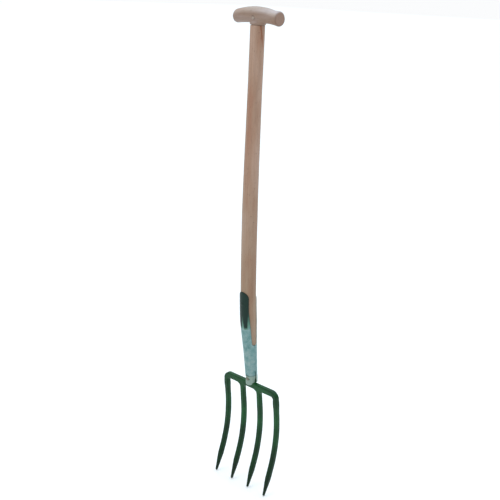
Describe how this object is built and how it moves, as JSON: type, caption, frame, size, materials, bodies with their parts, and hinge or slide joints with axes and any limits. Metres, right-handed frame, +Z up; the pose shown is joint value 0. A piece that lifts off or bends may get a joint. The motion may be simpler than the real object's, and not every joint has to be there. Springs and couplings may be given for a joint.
{
  "type": "lawn fork",
  "caption": "Upright digging and aerating fork: forged steel tines on a strapped socket, bent wooden shaft and wooden T grip.",
  "frame": {"origin": "on the straight shaft's axis, level with the underside of the T grip, where the fork hangs on a rack", "axes": "+Z up the straight top of the shaft, away from the tines; +X along the T grip and the tine bar; -Y is the front, the side the tine tips curve towards"},
  "size_m": [0.1878, 0.0686, 1.1851],
  "materials": {
    "grip_wood": "sanded hardwood, weathered greyer than the shaft",
    "dowel_wood": "beech dowel, end grain",
    "shaft_wood": "sanded ash or beech, no varnish",
    "socket_steel": "thin pale blue-green coat over bright steel, worn",
    "green_enamel": "glossy dark green dipped enamel"
  },
  "bodies": {
    "root": {"t_grip": "grip_wood", "grip_dowel": "dowel_wood", "shaft": "shaft_wood", "front_shell": "socket_steel", "rear_shell": "socket_steel", "tine_head": "green_enamel", "upper_rivet": "green_enamel", "lower_rivet": "socket_steel", "foot_rivet": "socket_steel", "rivet_burrs": "green_enamel"}
  },
  "joints": []
}
